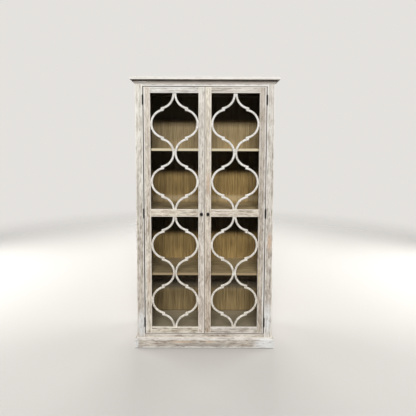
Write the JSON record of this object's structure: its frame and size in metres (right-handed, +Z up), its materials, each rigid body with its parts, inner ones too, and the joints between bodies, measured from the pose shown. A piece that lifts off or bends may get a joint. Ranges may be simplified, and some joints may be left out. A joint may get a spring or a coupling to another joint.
{
  "type": "glazed display cabinet",
  "caption": "Tall free-standing cabinet with hinged glazed doors, ogee lantern fretwork, shelves, cornice and plinth.",
  "frame": {"origin": "middle of the footprint on the floor", "axes": "+Z up, the doors face -Y, +X to the right of someone who faces the doors"},
  "size_m": [1.136, 0.457, 2.134],
  "materials": {
    "limed_pine": "limed and rubbed back, dull",
    "fretwork_paint": "off-white paint, satin",
    "shelf_boards": "limed wood, dull",
    "back_boards": "waxed pine, dull",
    "black_iron": "blackened, satin",
    "catch_steel": "plain steel",
    "clear_glass": "clear float glass"
  },
  "bodies": {
    "case": {"top_board": "limed_pine", "cornice_front": "limed_pine", "cornice_left": "limed_pine", "cornice_right": "limed_pine", "front_post_left": "limed_pine", "front_post_right": "limed_pine", "rear_post_left": "limed_pine", "rear_post_right": "limed_pine", "front_top_rail": "limed_pine", "front_bottom_rail": "limed_pine", "rear_top_rail": "limed_pine", "rear_bottom_rail": "limed_pine", "side_top_rail_left": "limed_pine", "side_top_rail_right": "limed_pine", "side_mid_rail_left": "limed_pine", "side_mid_rail_right": "limed_pine", "side_bottom_rail_left": "limed_pine", "side_bottom_rail_right": "limed_pine", "upper_side_panel_left": "limed_pine", "upper_side_panel_right": "limed_pine", "lower_side_panel_left": "limed_pine", "lower_side_panel_right": "limed_pine", "back_boards": "back_boards", "floor_board": "shelf_boards", "upper_shelf": "shelf_boards", "middle_shelf": "shelf_boards", "lower_shelf": "shelf_boards", "shelf_cleats": "shelf_boards", "plinth_front": "limed_pine", "plinth_left": "limed_pine", "plinth_right": "limed_pine", "fixed_hinge_leaves": "black_iron", "hinge_pins": "black_iron", "catch_magnets": "catch_steel"},
    "left_door": {"left_hinge_stile": "limed_pine", "left_meeting_stile": "limed_pine", "left_top_rail": "limed_pine", "left_mid_rail": "limed_pine", "left_bottom_rail": "limed_pine", "left_upper_fretwork": "fretwork_paint", "left_lower_fretwork": "fretwork_paint", "left_upper_glass": "clear_glass", "left_lower_glass": "clear_glass", "left_glazing_beads": "limed_pine", "left_knob": "black_iron", "left_hinge_leaves": "black_iron", "left_strike_plate": "catch_steel"},
    "right_door": {"right_hinge_stile": "limed_pine", "right_meeting_stile": "limed_pine", "right_top_rail": "limed_pine", "right_mid_rail": "limed_pine", "right_bottom_rail": "limed_pine", "right_upper_fretwork": "fretwork_paint", "right_lower_fretwork": "fretwork_paint", "right_upper_glass": "clear_glass", "right_lower_glass": "clear_glass", "right_glazing_beads": "limed_pine", "right_knob": "black_iron", "right_hinge_leaves": "black_iron", "right_strike_plate": "catch_steel"}
  },
  "joints": [
    {"name": "left_door_hinge", "type": "hinge", "parent": "case", "child": "left_door", "pos_m": [-0.4764, -0.2019, 1.09], "axis": [0, 0, -1], "range_deg": [0, 170]},
    {"name": "right_door_hinge", "type": "hinge", "parent": "case", "child": "right_door", "pos_m": [0.4764, -0.2019, 1.09], "axis": [0, 0, 1], "range_deg": [0, 170]}
  ]
}
